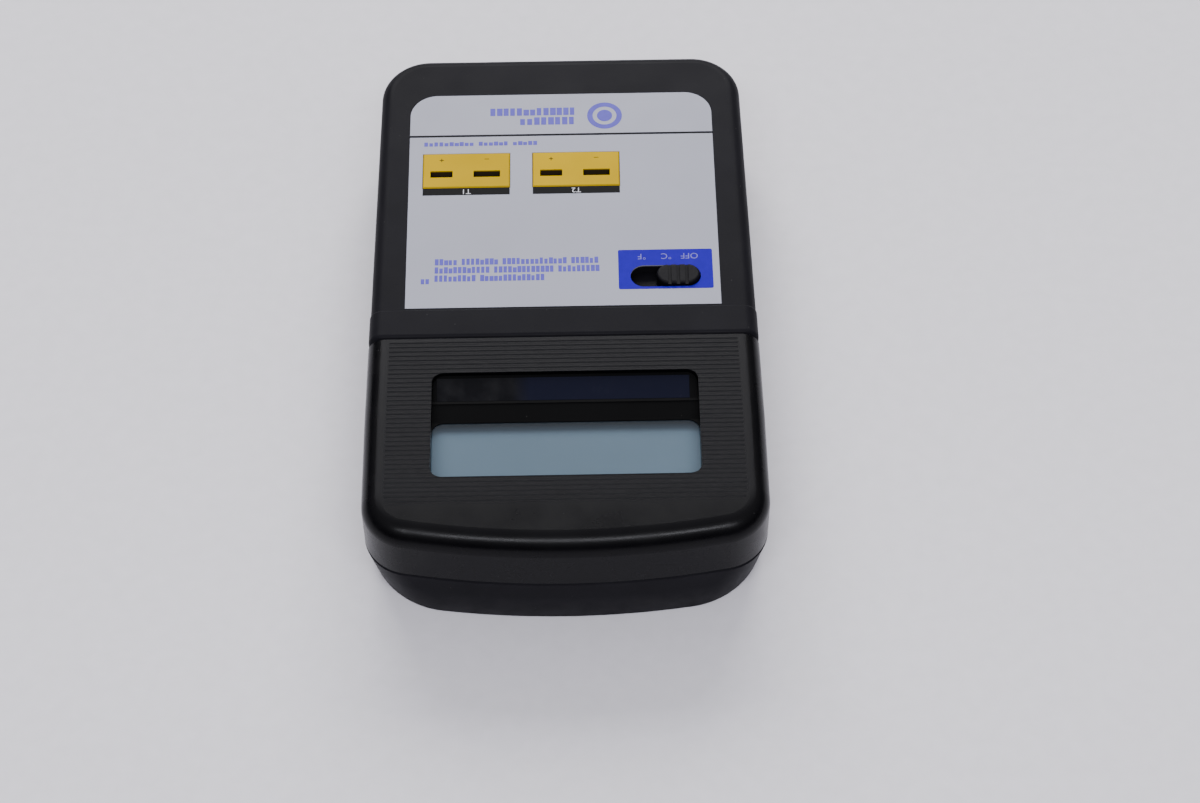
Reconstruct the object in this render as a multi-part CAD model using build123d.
from build123d import *
import os
from math import atan2, degrees, sqrt

# Pocket thermometer with two thermocouple sockets, modelled in millimetres.
# +Z points up out of the face, +Y towards the socket end and -Y towards the display end.
# The origin is under the middle of the case, on the surface that it lies on.

os.makedirs("parts", exist_ok=True)

# ---- Case outline ----
FRONT_Y = -55.2            # display end
REAR_Y = 55.2              # socket end
HEAD_HALF_WIDTH = 34.12    # widest part, beside the display
REAR_HALF_WIDTH = 33.15
SHOULDER_Y = -28.0         # where the sides start to taper towards the socket end
FRONT_ARC_R = 148.0        # bowed display end
FRONT_CORNER_R = 8.4
BASE_CORNER_R = 15.0       # the front corners are rounder at the base, where the shell tucks in
BASE_TUCK = 0.45           # narrower by this much on each side at the base
REAR_CORNER_R = 9.0

# ---- Heights ----
SEAM_Z = 10.5              # parting plane of the lower shell
LABEL_FRAME_Z = 20.8       # face around the labels
BAND_Z = 21.5              # raised collar
HEAD_Z = 22.0              # face around the display
WALL = 2.0
LIP_GAP = 0.1
LIP_HEIGHT = 1.1
SEAM_BEVEL = 0.4           # on the lower shell
SEAM_BEVEL_ABOVE = 0.3
BOTTOM_EDGE_R = 0.6

# ---- Upper shell and display cover ----
BAND_REAR_Y = -5.1
GROOVE_Y = -11.5
GROOVE_WIDTH = 0.5
LABEL_SECTION_INSET = 0.1
LABEL_EDGE_R = 2.4
BAND_EDGE_R = 2.6
BAND_FRONT_R = 0.8         # softens the collar where it meets the groove
HEAD_EDGE_R = 3.4
TONGUE_REACH = 2.5
RIB_PITCH = 0.94           # fine cross ribs on the display cover
RIB_GROOVE_WIDTH = (0.62, 0.2)   # at the face, at the bottom
RIB_GROOVE_DEPTH = 0.1
RIB_FRONT_Y = -46.2

# ---- Display ----
WINDOW_X = (-22.6, 22.9)
WINDOW_Y = (-40.85, -19.3)
WINDOW_CORNER_R = 2.0
BEZEL_APERTURE_REAR_Y = -27.8
BEZEL_APERTURE_CORNER_R = 2.0
BEZEL_LIP = 0.25           # thickness of the bezel where it meets the clear window
GLASS_TOP_Z = 18.8         # clear window over the liquid crystal panel
GLASS_T = 1.0
LCD_T = 1.8
RAMP_TOP_Z = 21.2
PANEL_FRONT = (-24.5, 19.87)   # Y and Z where the slope under the tinted panel starts
PANEL_X = (-21.8, 21.4)
PANEL_LENGTH = 4.2         # up the slope
PANEL_T = 0.6

# ---- Labels and sockets ----
LABEL_HALF_WIDTH = 27.65
LABEL_Y = (-4.25, 35.3)
BRAND_Y = (35.78, 45.45)
LABEL_T = 0.25
LABEL_RECESS = 0.3
BRAND_CORNER_R = 5.0
JACK_X = (-17.25, 2.6)     # middle of each socket
JACK_Y = 27.15
JACK_FACE = (15.7, 8.1)
JACK_TOP_Z = 20.95
JACK_BOTTOM_Z = 8.4
JACK_FLANGE = (18.0, 10.2)
JACK_FLANGE_Z = (17.2, 18.75)
SLOT_X = (-4.5, 3.7)       # positive and negative slot, from the middle of the face
SLOT_Y_OFFSET = -0.9
SLOT_LENGTH = (4.0, 4.8)
SLOT_WIDTH = 1.5
CONTACT_GAP = 0.8
CONTACT_T = 0.4

# ---- Slide switch ----
SWITCH_SLOT = (12.4, 4.8)
SWITCH_AT = (18.1, 2.15)
SWITCH_TRAVEL = 4.4
KNOB_SIZE = (7.6, 4.3)
KNOB_TOP_Z = 21.5

# ---- Circuit board ----
BOARD_Z = 13.3
BOARD_T = 1.2
BOARD_TOP_Z = BOARD_Z + BOARD_T
BOARD_INSET = 3.6
BOARD_POSTS = ((-26.0, 12.0), (26.0, 12.0), (-20.0, 44.0), (20.0, 44.0))

# ---- Battery bay: two cells side by side, each 10.5 across and 44.5 long ----
CELL_R = 5.25
CELL_LENGTH = 44.5
CELL_Z = 7.0
CELL_PITCH = 10.9
BAY_CENTRE_Y = -36.35
BAY_HALF = (24.85, 10.95)
BAY_WALL = 1.0
BAY_CEILING_Z = 12.3
DOOR_RECESS = 0.75         # how far the door reaches past the bay on each side
DOOR_GAP = 0.2
DOOR_Z = (0.1, 1.55)
DOOR_SEAT_Z = 1.6
HOOK_X = 15.0
HOOK_WIDTH = 6.0

# ---- Screws ----
CASE_SCREWS_REAR = ((-27.5, 46.5), (27.5, 46.5))
CASE_SCREWS_HEAD = ((-29.15, -18.0), (29.15, -18.0))
BOSS_R = 2.7
SCREW_R = 1.25
SCREW_HEAD_R = 2.3
SCREW_HEAD_T = 1.3
SCREW_SEAT_Z = 1.7
SCREW_TIP_Z = 16.4
PILOT_R = SCREW_R + 0.02
BOARD_SCREW_R = 0.95


def block(x, y, z):
    """Box between the low and high limits in x, y and z."""
    size = (x[1] - x[0], y[1] - y[0], z[1] - z[0])
    middle = (sum(x) / 2, sum(y) / 2, sum(z) / 2)
    return Pos(*middle) * Box(*size)


def rounded_block(x, y, z, radius):
    """Box whose four upright edges are rounded."""
    return fillet(block(x, y, z).edges().filter_by(Axis.Z), radius)


def post(at, radius, z):
    """Upright cylinder at a point of the plan."""
    return Pos(at[0], at[1], (z[0] + z[1]) / 2) * Cylinder(radius, z[1] - z[0])


def both_sides(x_middle, half):
    return (x_middle - half, x_middle + half)


def fuse(pieces):
    """One solid from pieces that touch or overlap."""
    pieces = list(pieces)
    return pieces[0].fuse(*pieces[1:])


def plan(inset=0.0, tuck=0.0, corner_r=FRONT_CORNER_R):
    """Case outline seen from above, moved in by inset, its sides by tuck as well."""
    side = HEAD_HALF_WIDTH - inset - tuck
    rear_side = REAR_HALF_WIDTH - inset - tuck
    front = FRONT_Y + inset
    rear = REAR_Y - inset
    arc_r = FRONT_ARC_R - inset
    corner_y = front + arc_r - sqrt(arc_r**2 - side**2)
    with BuildSketch() as outline:
        with BuildLine():
            ThreePointArc((-side, corner_y), (0, front), (side, corner_y))
            Polyline(
                (side, corner_y), (side, SHOULDER_Y), (rear_side, rear),
                (-rear_side, rear), (-side, SHOULDER_Y), (-side, corner_y),
            )
        make_face()
        corners = outline.vertices().group_by(Axis.Y)
        fillet(corners[0], corner_r - inset)
        fillet(outline.vertices().filter_by_position(Axis.Y, rear - 1, rear + 1), REAR_CORNER_R - inset)
    return outline.sketch


def prism(inset, z, y=(FRONT_Y - 1, REAR_Y + 1), corner_r=FRONT_CORNER_R):
    """Upright solid on the case outline, kept between two y limits."""
    solid = extrude(Pos(0, 0, z[0]) * plan(inset, 0, corner_r), z[1] - z[0])
    return solid & block((-50, 50), y, z)


def ring(outer, inner, z, y=(FRONT_Y - 1, REAR_Y + 1)):
    """Wall between two insets of the case outline."""
    return prism(outer, z, y) - prism(inner, (z[0] - 1, z[1] + 1), y)


def level_edges(solid, z):
    """Edges that lie at height z."""
    return solid.edges().filter_by_position(Axis.Z, z - 0.01, z + 0.01)


def rim_edges(solid, z, cut_y):
    """Edges of the face at height z, leaving out the straight cut across the case."""
    return level_edges(solid, z).filter_by(lambda edge: abs(edge.center().Y - cut_y) > 0.2)


# ---------------------------------------------------------------- case

def upper_prism(inset, top_z, y):
    """Solid on the case outline from the parting plane up, its lower edge bevelled."""
    sections = [
        Pos(0, 0, SEAM_Z) * plan(inset + SEAM_BEVEL_ABOVE),
        Pos(0, 0, SEAM_Z + SEAM_BEVEL_ABOVE) * plan(inset),
        Pos(0, 0, top_z) * plan(inset),
    ]
    solid = loft([section.face() for section in sections], ruled=True)
    return solid & block((-50, 50), y, (SEAM_Z, top_z))


def lower_shell():
    sections = [
        plan(0, BASE_TUCK, BASE_CORNER_R),
        Pos(0, 0, SEAM_Z - SEAM_BEVEL) * plan(),
        Pos(0, 0, SEAM_Z) * plan(SEAM_BEVEL),
    ]
    body = loft([section.face() for section in sections], ruled=True)
    body = fillet(level_edges(body, 0), BOTTOM_EDGE_R)
    body -= prism(WALL, (WALL, SEAM_Z + 1), corner_r=BASE_CORNER_R)
    body += ring(WALL / 2 + LIP_GAP, WALL, (SEAM_Z - 1, SEAM_Z + LIP_HEIGHT))

    bay_x = BAY_HALF[0]
    bay_y = both_sides(BAY_CENTRE_Y, BAY_HALF[1])
    bay_box = block(
        both_sides(0, bay_x + BAY_WALL),
        (bay_y[0] - BAY_WALL, bay_y[1] + BAY_WALL),
        (1, BAY_CEILING_Z + 0.9),
    )
    bosses = [post(at, BOSS_R, (1, SEAM_Z - 0.1)) for at in CASE_SCREWS_REAR + CASE_SCREWS_HEAD]
    posts = [post(at, 2.4, (1, BOARD_Z)) for at in BOARD_POSTS]
    body = fuse([body, bay_box] + bosses + posts)

    body -= block(both_sides(0, bay_x), bay_y, (-1, BAY_CEILING_Z))
    reach = DOOR_RECESS
    body -= block(
        both_sides(0, bay_x + reach), (bay_y[0] - reach, bay_y[1] + reach), (-1, DOOR_SEAT_Z)
    )
    for side in (-1, 1):
        hook_slot_x = both_sides(side * HOOK_X, HOOK_WIDTH / 2 + 0.3)
        body -= block(hook_slot_x, (bay_y[1] - 0.2, bay_y[1] + BAY_WALL + 0.2), (DOOR_SEAT_Z, 3.7))
    for x, y in contact_places():
        tab_slot_x = both_sides(x, 0.5)
        body -= block(tab_slot_x, both_sides(y, 1.8), (BAY_CEILING_Z - 1, BAY_CEILING_Z + 2))
    for at in CASE_SCREWS_REAR + CASE_SCREWS_HEAD:
        body -= post(at, SCREW_HEAD_R + 0.3, (-1, SCREW_SEAT_Z))
        body -= post(at, SCREW_R + 0.2, (0, SEAM_Z + 1))
    for at in BOARD_POSTS:
        body -= post(at, BOARD_SCREW_R + 0.02, (BOARD_Z - 6.5, BOARD_Z + 1))
    return body


def label_recesses():
    gap = 0.05
    main = block(
        both_sides(0, LABEL_HALF_WIDTH + gap),
        (LABEL_Y[0] - gap, LABEL_Y[1] + gap),
        (LABEL_FRAME_Z - LABEL_RECESS, LABEL_FRAME_Z + 1),
    )
    return main + brand_outline(gap, (LABEL_FRAME_Z - LABEL_RECESS, LABEL_FRAME_Z + 1))


def brand_outline(gap, z):
    """Strip at the socket end, its two far corners rounded."""
    strip = block(both_sides(0, LABEL_HALF_WIDTH + gap), (BRAND_Y[0] - gap, BRAND_Y[1] + gap), z)
    far = strip.edges().filter_by(Axis.Z).group_by(Axis.Y)[-1]
    return fillet(far, BRAND_CORNER_R)


def switch_slot(gap, z):
    """Round-ended slot of the slide switch."""
    height = SWITCH_SLOT[1] + 2 * gap
    slot = Pos(SWITCH_AT[0], SWITCH_AT[1], z[0]) * SlotOverall(SWITCH_SLOT[0] + 2 * gap, height)
    return extrude(slot, z[1] - z[0])


def jack_holes(gap, z):
    holes = []
    for x in JACK_X:
        half = (JACK_FACE[0] / 2 + gap, JACK_FACE[1] / 2 + gap)
        holes.append(block(both_sides(x, half[0]), both_sides(JACK_Y, half[1]), z))
    return holes


def upper_shell():
    band_front_y = GROOVE_Y + GROOVE_WIDTH / 2
    roof_z = LABEL_FRAME_Z - WALL
    label_part = upper_prism(LABEL_SECTION_INSET, LABEL_FRAME_Z, (BAND_REAR_Y - 1, REAR_Y))
    label_part = fillet(rim_edges(label_part, LABEL_FRAME_Z, BAND_REAR_Y - 1), LABEL_EDGE_R)
    band = upper_prism(0, BAND_Z, (band_front_y, BAND_REAR_Y))
    band_sides = level_edges(band, BAND_Z).sort_by(Axis.X)
    band = fillet([band_sides[0], band_sides[-1]], BAND_EDGE_R)
    band_arris = band.edges().filter_by_position(Axis.Y, BAND_REAR_Y - 0.01, BAND_REAR_Y + 0.01)
    band = fillet(band_arris.filter_by(lambda edge: edge.center().Z > SEAM_Z + 1), 0.3)
    band_face = band.edges().filter_by_position(Axis.Y, band_front_y - 0.01, band_front_y + 0.01)
    band = fillet(band_face.filter_by(lambda edge: edge.center().Z > SEAM_Z + 1), BAND_FRONT_R)
    body = label_part + band

    body -= prism(WALL, (SEAM_Z, roof_z), (band_front_y - 1, REAR_Y))
    body -= prism(WALL / 2, (SEAM_Z - 1, SEAM_Z + LIP_HEIGHT + LIP_GAP), (band_front_y - 1, REAR_Y))
    tongue_z = (SEAM_Z + LIP_HEIGHT + 0.4, HEAD_Z - WALL - 0.15)
    tongue = prism(WALL + 0.15, tongue_z, (band_front_y - TONGUE_REACH, band_front_y + 1.5))
    root = prism(WALL - 0.2, tongue_z, (band_front_y, band_front_y + 1.5))
    hollow = prism(WALL + 1.35, (SEAM_Z, roof_z), (band_front_y - 5, band_front_y + 5))
    body += (tongue + root) - hollow
    bosses = [post(at, BOSS_R, (SEAM_Z + 0.1, roof_z + 0.5)) for at in CASE_SCREWS_REAR]
    body = fuse([body] + bosses)

    body -= label_recesses()
    body -= switch_slot(0, (roof_z - 1, BAND_Z + 1))
    for hole in jack_holes(0.1, (roof_z - 1, BAND_Z + 1)):
        body -= hole
    for at in CASE_SCREWS_REAR:
        body -= post(at, PILOT_R, (SEAM_Z - 1, SCREW_TIP_Z + 1))
    return body


def rib_grooves():
    """Cutters for the fine grooves, which stop short of the rounded edge."""
    rear_y = GROOVE_Y - 1.2
    field = prism(HEAD_EDGE_R + 0.5, (HEAD_Z - 1, HEAD_Z + 1), (RIB_FRONT_Y, rear_y))
    top, bottom = (width / 2 for width in RIB_GROOVE_WIDTH)
    with BuildSketch(Plane.YZ) as section:
        Polygon(
            (-top, HEAD_Z), (-bottom, HEAD_Z - RIB_GROOVE_DEPTH),
            (bottom, HEAD_Z - RIB_GROOVE_DEPTH), (top, HEAD_Z), (0, HEAD_Z + 0.5),
            align=None,
        )
    strip = extrude(section.sketch, 40, both=True)
    count = int((rear_y - top - RIB_FRONT_Y) / RIB_PITCH)
    return [(Pos(0, RIB_FRONT_Y + top + index * RIB_PITCH, 0) * strip) & field for index in range(count + 1)]


def window_opening(z):
    return rounded_block(WINDOW_X, WINDOW_Y, z, WINDOW_CORNER_R)


def display_cover():
    rear_y = GROOVE_Y - GROOVE_WIDTH / 2
    body = upper_prism(0, HEAD_Z, (FRONT_Y - 1, rear_y))
    body = fillet(rim_edges(body, HEAD_Z, rear_y), HEAD_EDGE_R)
    rear_face = body.edges().filter_by_position(Axis.Y, rear_y - 0.01, rear_y + 0.01)
    body = chamfer(rear_face.filter_by(lambda edge: edge.center().Z > SEAM_Z + 1), 0.2)
    body -= prism(WALL, (SEAM_Z, HEAD_Z - WALL), (FRONT_Y - 1, rear_y + 1))
    body -= prism(WALL / 2, (SEAM_Z - 1, SEAM_Z + LIP_HEIGHT + LIP_GAP), (FRONT_Y - 1, rear_y + 1))
    bosses = [post(at, BOSS_R, (SEAM_Z + 0.1, HEAD_Z - WALL + 0.5)) for at in CASE_SCREWS_HEAD]
    body = fuse([body] + bosses)
    opening = window_opening((SEAM_Z, HEAD_Z + 1))
    body -= opening
    for groove in rib_grooves():
        body -= groove
    for at in CASE_SCREWS_HEAD:
        body -= post(at, PILOT_R, (SEAM_Z - 1, SCREW_TIP_Z + 1))
    return body


def battery_door():
    plate_x = both_sides(0, BAY_HALF[0] + DOOR_RECESS - DOOR_GAP)
    plate_y = both_sides(BAY_CENTRE_Y, BAY_HALF[1] + DOOR_RECESS - DOOR_GAP)
    body = rounded_block(plate_x, plate_y, DOOR_Z, 0.4)
    bay_rear_y = BAY_CENTRE_Y + BAY_HALF[1]
    for side in (-1, 1):
        hook_x = both_sides(side * HOOK_X, HOOK_WIDTH / 2)
        body += block(hook_x, (bay_rear_y - 1.0, bay_rear_y + 0.35), (1.2, 2.9))
        body += block(hook_x, (bay_rear_y - 1.0, bay_rear_y + 2.0), (2.1, 2.9))
    bay_front_y = BAY_CENTRE_Y - BAY_HALF[1]
    body += block((-4, 4), (bay_front_y + 0.45, bay_front_y + 1.35), (1.2, 3.0))
    notch_y = plate_y[0] + 4.2
    body -= rounded_block((-7, 7), both_sides(notch_y, 2.4), (-1, DOOR_Z[0] + 0.5), 2.0)
    for index in range(3):
        y = notch_y - 1.2 + index * 1.2
        body += block((-4.5, 4.5), both_sides(y, 0.25), (DOOR_Z[0] + 0.1, 1.0))
    return body


# ---------------------------------------------------------------- display

def display_bezel():
    plate_y = (WINDOW_Y[0] - 4.6, WINDOW_Y[1] + 1.7)
    plate_x = (WINDOW_X[0] - 3.5, WINDOW_X[1] + 3.5)
    plate = block(plate_x, plate_y, (GLASS_TOP_Z, HEAD_Z - WALL))
    aperture_y = (WINDOW_Y[0] - 1.4, BEZEL_APERTURE_REAR_Y)
    aperture = rounded_block(WINDOW_X, aperture_y, (0, 30), BEZEL_APERTURE_CORNER_R)
    gap = 0.08
    ramp_top = WINDOW_Y[1] - gap
    with BuildSketch(Plane.YZ) as ramp_side:
        Polygon(
            (ramp_top, GLASS_TOP_Z), (ramp_top, RAMP_TOP_Z), PANEL_FRONT,
            (BEZEL_APERTURE_REAR_Y, GLASS_TOP_Z + BEZEL_LIP), (BEZEL_APERTURE_REAR_Y, GLASS_TOP_Z),
            align=None,
        )
    ramp = Pos(WINDOW_X[0] + gap, 0, 0) * extrude(ramp_side.sketch, WINDOW_X[1] - WINDOW_X[0] - 2 * gap)
    ramp &= window_opening_clear(gap)
    body = (plate - aperture - plate_over_slope()) + ramp
    return body - tinted_panel_solid(0.03)


def window_opening_clear(gap):
    x = (WINDOW_X[0] + gap, WINDOW_X[1] - gap)
    y = (WINDOW_Y[0] + gap, WINDOW_Y[1] - gap)
    return rounded_block(x, y, (GLASS_TOP_Z, HEAD_Z + 1), WINDOW_CORNER_R - gap)


def plate_over_slope():
    """What the sloping face and the aperture's rounded corners take off the plate."""
    corner_y = BEZEL_APERTURE_REAR_Y - BEZEL_APERTURE_CORNER_R - 0.2
    lip_z = GLASS_TOP_Z + BEZEL_LIP
    above_z = PANEL_FRONT[1] + 1
    with BuildSketch(Plane.YZ) as side:
        Polygon(
            PANEL_FRONT, (BEZEL_APERTURE_REAR_Y, lip_z), (corner_y, lip_z),
            (corner_y, above_z), (PANEL_FRONT[0], above_z),
            align=None,
        )
    return Pos(WINDOW_X[0], 0, 0) * extrude(side.sketch, WINDOW_X[1] - WINDOW_X[0])


def tinted_panel_solid(gap):
    """Thin panel let into the upper part of the slope."""
    rise = RAMP_TOP_Z - PANEL_FRONT[1]
    run = WINDOW_Y[1] - PANEL_FRONT[0]
    slope = degrees(atan2(rise, run))
    length = PANEL_LENGTH + 2 * gap
    width = PANEL_X[1] - PANEL_X[0] + 2 * gap
    middle_x = (PANEL_X[0] + PANEL_X[1]) / 2
    middle_y = (WINDOW_Y[1] + PANEL_FRONT[0]) / 2
    middle_z = (RAMP_TOP_Z + PANEL_FRONT[1]) / 2
    panel = Pos(0, 0, -PANEL_T / 2) * Box(width, length, PANEL_T + 2 * gap)
    return Pos(middle_x, middle_y, middle_z) * Rot(slope, 0, 0) * panel


def tinted_panel():
    return tinted_panel_solid(0)


def display_window():
    x = (WINDOW_X[0] - 2.8, WINDOW_X[1] + 2.8)
    return block(x, (WINDOW_Y[0] - 3.6, -25.4), (GLASS_TOP_Z - GLASS_T, GLASS_TOP_Z))


def lcd_panel():
    glass_bottom = GLASS_TOP_Z - GLASS_T
    return block((-25, 25), (-45, -25.2), (glass_bottom - LCD_T, glass_bottom))


def lcd_connectors():
    z = (BOARD_TOP_Z, GLASS_TOP_Z - GLASS_T - LCD_T)
    return Compound([block((-23, 23), (y - 0.9, y + 0.9), z) for y in (-43.6, -26.6)])


def lcd_holder():
    z = (BOARD_TOP_Z, GLASS_TOP_Z - GLASS_T)
    outer = block((-26.6, 26.6), (-46.6, -23.6), z)
    return outer - block((-25.1, 25.1), (-45.1, -25.1), (z[0] - 1, z[1] + 1))


# ---------------------------------------------------------------- electronics

def main_board():
    body = prism(BOARD_INSET, (BOARD_Z, BOARD_TOP_Z))
    for at in CASE_SCREWS_REAR + CASE_SCREWS_HEAD:
        body -= post(at, BOSS_R + 0.5, (BOARD_Z - 1, BOARD_TOP_Z + 1))
        x_edge = 40 if at[0] > 0 else -40
        reach = (min(at[0], x_edge), max(at[0], x_edge))
        body -= block(reach, both_sides(at[1], BOSS_R + 0.5), (BOARD_Z - 1, BOARD_TOP_Z + 1))
    for hole in jack_holes(0.1, (BOARD_Z - 1, BOARD_TOP_Z + 1)):
        body -= hole
    for at in BOARD_POSTS:
        body -= post(at, BOARD_SCREW_R + 0.15, (BOARD_Z - 1, BOARD_TOP_Z + 1))
    for x, y in contact_places():
        body -= block(both_sides(x, 0.5), both_sides(y, 1.8), (BOARD_Z - 1, BOARD_TOP_Z + 1))
    for jack in (0, 1):
        for pole in (0, 1):
            tail_x = both_sides(contact_x(jack, pole), 1.0)
            body -= block(tail_x, both_sides(tail_y(), 0.4), (BOARD_Z - 1, BOARD_TOP_Z + 1))
    return body


def processor_chip():
    return block((-8, 4), (2, 14), (BOARD_TOP_Z, BOARD_TOP_Z + 1.5))


def amplifier_chips():
    rows = [block(both_sides(x, 2.5), (37, 41), (BOARD_TOP_Z, BOARD_TOP_Z + 1.4)) for x in (-9, 3)]
    return Compound(rows)


def trim_pots():
    pots = []
    for x in (-23, -15, -7):
        base = block(both_sides(x, 2.2), (-6, -1.6), (BOARD_TOP_Z, BOARD_TOP_Z + 2.2))
        dial = post((x, -3.8), 1.5, (BOARD_TOP_Z + 2.0, BOARD_TOP_Z + 2.8))
        cross = block(both_sides(x, 1.1), both_sides(-3.8, 0.25), (BOARD_TOP_Z + 2.5, BOARD_TOP_Z + 3))
        pots.append(base + dial - cross)
    return Compound(pots)


def timing_crystal():
    can = block((8, 17), (12, 15.4), (BOARD_TOP_Z, BOARD_TOP_Z + 3))
    return fillet(can.edges().filter_by(Axis.Z), 1.6)


def capacitors():
    return Compound([post((x, 17.5), 2.0, (BOARD_TOP_Z, BOARD_TOP_Z + 3.2)) for x in (-4, 19)])


# ---------------------------------------------------------------- sockets

def contact_x(jack, pole):
    """Pole 0 is positive, on the -X side of each socket, and pole 1 is negative."""
    return JACK_X[jack] + SLOT_X[pole]


def contact_y():
    return JACK_Y + SLOT_Y_OFFSET


def tail_y():
    return JACK_Y + JACK_FACE[1] / 2 + 1.2


def jack_body(jack):
    x = JACK_X[jack]
    half = (JACK_FACE[0] / 2, JACK_FACE[1] / 2)
    body = block(both_sides(x, half[0]), both_sides(JACK_Y, half[1]), (JACK_BOTTOM_Z, JACK_TOP_Z))
    body = chamfer(level_edges(body, JACK_TOP_Z), 0.2)
    flange_half = (JACK_FLANGE[0] / 2, JACK_FLANGE[1] / 2)
    body += block(both_sides(x, flange_half[0]), both_sides(JACK_Y, flange_half[1]), JACK_FLANGE_Z)
    for pole, length in enumerate(SLOT_LENGTH):
        middle = contact_x(jack, pole)
        cavity_y = both_sides(contact_y(), 1.7)
        body -= block(both_sides(middle, 2.6), cavity_y, (JACK_BOTTOM_Z - 1, JACK_TOP_Z - 1.6))
        slot_y = both_sides(contact_y(), SLOT_WIDTH / 2)
        body -= block(both_sides(middle, length / 2), slot_y, (JACK_TOP_Z - 2, JACK_TOP_Z + 1))
    return body


def jack_contact(jack, pole):
    """Folded strip: two leaves that grip the blade, and a tail that rises to the board."""
    middle = contact_x(jack, pole)
    y = contact_y()
    half_gap = CONTACT_GAP / 2
    leaf_x = both_sides(middle, 1.6)
    tail_x = both_sides(middle, 0.9)
    top = JACK_TOP_Z - 2.2
    foot = JACK_BOTTOM_Z + 0.4
    pieces = [
        block(leaf_x, (y - half_gap - CONTACT_T, y - half_gap), (foot, top)),
        block(leaf_x, (y + half_gap, y + half_gap + CONTACT_T), (foot, top)),
        block(leaf_x, (y - half_gap - CONTACT_T, y + half_gap + CONTACT_T), (foot - CONTACT_T, foot)),
        block(tail_x, (y, y + CONTACT_T), (foot - 1.6, foot)),
        block(tail_x, (y, tail_y() + CONTACT_T / 2), (foot - 1.6, foot - 1.6 + CONTACT_T)),
        block(tail_x, both_sides(tail_y(), CONTACT_T / 2), (foot - 1.6, BOARD_TOP_Z + 0.8)),
    ]
    return fuse(pieces)


# ---------------------------------------------------------------- switch

def switch_body():
    x, y = SWITCH_AT
    rest_x = x + SWITCH_TRAVEL / 2
    body = block(both_sides(x, 6.5), both_sides(y, 3.3), (BOARD_TOP_Z, BOARD_TOP_Z + 3.0))
    stem_run = (rest_x - SWITCH_TRAVEL - 1.3, rest_x + 1.3)
    return body - block(stem_run, both_sides(y, 1.2), (BOARD_TOP_Z + 0.8, BOARD_TOP_Z + 4))


def switch_knob():
    """Knob at its rest place, the +X end of the slot."""
    x, y = SWITCH_AT
    rest_x = x + SWITCH_TRAVEL / 2
    skirt_z = (LABEL_FRAME_Z - WALL - 0.8, LABEL_FRAME_Z - WALL - 0.1)
    outline = Pos(rest_x, y, skirt_z[0]) * SlotOverall(*KNOB_SIZE)
    cap = extrude(outline, KNOB_TOP_Z - skirt_z[0])
    cap = fillet(level_edges(cap, KNOB_TOP_Z), 0.45)
    for step in (-1, 0, 1):
        groove_x = both_sides(rest_x + step * 1.5, 0.3)
        cap -= block(groove_x, both_sides(y, 5), (KNOB_TOP_Z - 0.45, KNOB_TOP_Z + 1))
    cover = SWITCH_SLOT[0] / 2 + 0.5
    skirt = block((x - cover, x + cover + SWITCH_TRAVEL), both_sides(y, 3.2), skirt_z)
    stem = block(both_sides(rest_x, 1.1), both_sides(y, 1.0), (BOARD_TOP_Z + 1.0, skirt_z[0] + 0.3))
    return cap + skirt + stem


# ---------------------------------------------------------------- labels

def label_z():
    floor = LABEL_FRAME_Z - LABEL_RECESS
    return (floor, floor + LABEL_T)


def main_label():
    body = block(both_sides(0, LABEL_HALF_WIDTH), LABEL_Y, label_z())
    for hole in jack_holes(0.1, (15, 25)):
        body -= hole
    return body - switch_slot(0, (15, 25))


def brand_label():
    return brand_outline(0, label_z())


# ---------------------------------------------------------------- batteries

def contact_places():
    """Middle of each of the four battery contacts, in the plan."""
    x = BAY_HALF[0] - 0.35
    return [(side * x, BAY_CENTRE_Y + row * CELL_PITCH / 2) for side in (-1, 1) for row in (-1, 1)]


def battery_cell(row):
    """Cell with its positive cap on the +X side in one row and on the -X side in the other."""
    y = BAY_CENTRE_Y + row * CELL_PITCH / 2
    can_length = CELL_LENGTH - 0.9
    can = Cylinder(CELL_R, can_length)
    can = fillet(can.edges(), 0.5)
    cap = Pos(0, 0, can_length / 2 + 0.4) * Cylinder(1.9, 1.0)
    return Pos(-row * 0.45, y, CELL_Z) * Rot(0, row * 90, 0) * (can + cap)


def contact_plate(x, y):
    side = 1 if x > 0 else -1
    wall_x = side * BAY_HALF[0]
    face = (wall_x - side * 0.6, wall_x - side * 0.2)
    plate_x = (min(face), max(face))
    plate = block(plate_x, both_sides(y, 4.2), (3.2, 11.6))
    return plate + block(plate_x, both_sides(y, 1.4), (11, BOARD_TOP_Z + 0.7))


def positive_contacts():
    """Plates with a raised button that meets the cap of each cell."""
    contacts = []
    for row in (-1, 1):
        x = row * (BAY_HALF[0] - 0.4)
        y = BAY_CENTRE_Y + row * CELL_PITCH / 2
        inner = x - row * 0.1
        tip = row * (CELL_LENGTH / 2 + 0.1)
        length = abs(inner - tip)
        button = Pos((inner + tip) / 2, y, CELL_Z) * Rot(0, 90, 0) * Cylinder(1.6, length)
        contacts.append(contact_plate(x, y) + button)
    return Compound(contacts)


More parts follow.
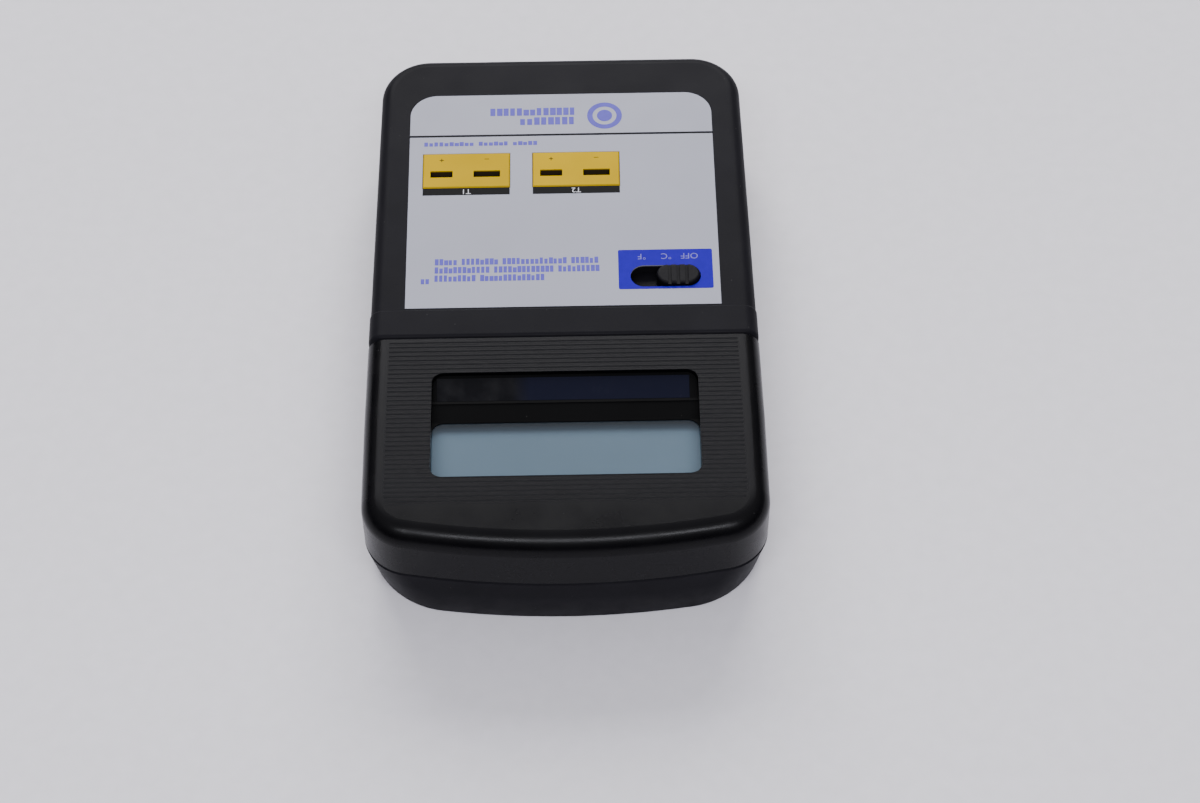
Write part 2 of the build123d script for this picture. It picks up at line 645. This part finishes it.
def negative_contacts():
    """Plates with a bowed leaf that presses on the flat end of each cell."""
    contacts = []
    for row in (-1, 1):
        side = -row
        x = side * (BAY_HALF[0] - 0.4)
        y = BAY_CENTRE_Y + row * CELL_PITCH / 2
        tip = side * (CELL_LENGTH / 2 + 0.1)
        foot = side * (BAY_HALF[0] - 0.3)
        with BuildSketch(Plane.XZ) as leaf:
            with BuildLine():
                ThreePointArc((foot, CELL_Z - 3.6), (tip, CELL_Z), (foot, CELL_Z + 3.6))
                ThreePointArc((foot, CELL_Z + 3.0), (tip + side * 0.35, CELL_Z), (foot, CELL_Z - 3.0))
                Line((foot, CELL_Z - 3.0), (foot, CELL_Z - 3.6))
                Line((foot, CELL_Z + 3.6), (foot, CELL_Z + 3.0))
            make_face()
        strip = Pos(0, y, 0) * extrude(leaf.sketch, 1.6, both=True)
        contacts.append(contact_plate(x, y) + strip)
    return Compound(contacts)


# ---------------------------------------------------------------- screws

def case_screw(at):
    """Pan-head screw driven up from the base."""
    low = SCREW_SEAT_Z - SCREW_HEAD_T
    head = post(at, SCREW_HEAD_R, (low, SCREW_SEAT_Z))
    head = fillet(level_edges(head, low), 0.5)
    head += post(at, SCREW_R, (SCREW_SEAT_Z - 0.2, SCREW_TIP_Z))
    head -= block(both_sides(at[0], 1.5), both_sides(at[1], 0.25), (low - 1, low + 0.8))
    return head - block(both_sides(at[0], 0.25), both_sides(at[1], 1.5), (low - 1, low + 0.8))


def board_screw(at):
    body = post(at, 1.9, (BOARD_TOP_Z, BOARD_TOP_Z + 1.2))
    body += post(at, BOARD_SCREW_R, (BOARD_Z - 5, BOARD_TOP_Z + 0.2))
    top = BOARD_TOP_Z + 1.2
    return body - block(both_sides(at[0], 1.2), both_sides(at[1], 0.2), (top - 0.5, top + 1))


PIECES = {
    "lower_shell": lower_shell(),
    "upper_shell": upper_shell(),
    "display_cover": display_cover(),
    "battery_door": battery_door(),
    "display_bezel": display_bezel(),
    "tinted_panel": tinted_panel(),
    "display_window": display_window(),
    "lcd_panel": lcd_panel(),
    "lcd_connectors": lcd_connectors(),
    "lcd_holder": lcd_holder(),
    "main_board": main_board(),
    "processor_chip": processor_chip(),
    "amplifier_chips": amplifier_chips(),
    "trim_pots": trim_pots(),
    "timing_crystal": timing_crystal(),
    "capacitors": capacitors(),
    "switch_body": switch_body(),
    "switch_knob": switch_knob(),
    "main_label": main_label(),
    "brand_label": brand_label(),
    "battery_cell_1": battery_cell(-1),
    "battery_cell_2": battery_cell(1),
    "battery_positive_contacts": positive_contacts(),
    "battery_negative_contacts": negative_contacts(),
    "case_screws": Compound([case_screw(at) for at in CASE_SCREWS_REAR + CASE_SCREWS_HEAD]),
    "board_screws": Compound([board_screw(at) for at in BOARD_POSTS]),
}
for jack in (0, 1):
    PIECES[f"jack_{jack + 1}_body"] = jack_body(jack)
    PIECES[f"jack_{jack + 1}_positive_contact"] = jack_contact(jack, 0)
    PIECES[f"jack_{jack + 1}_negative_contact"] = jack_contact(jack, 1)

for node, shape in PIECES.items():
    export_step(shape, f"parts/{node}.step")
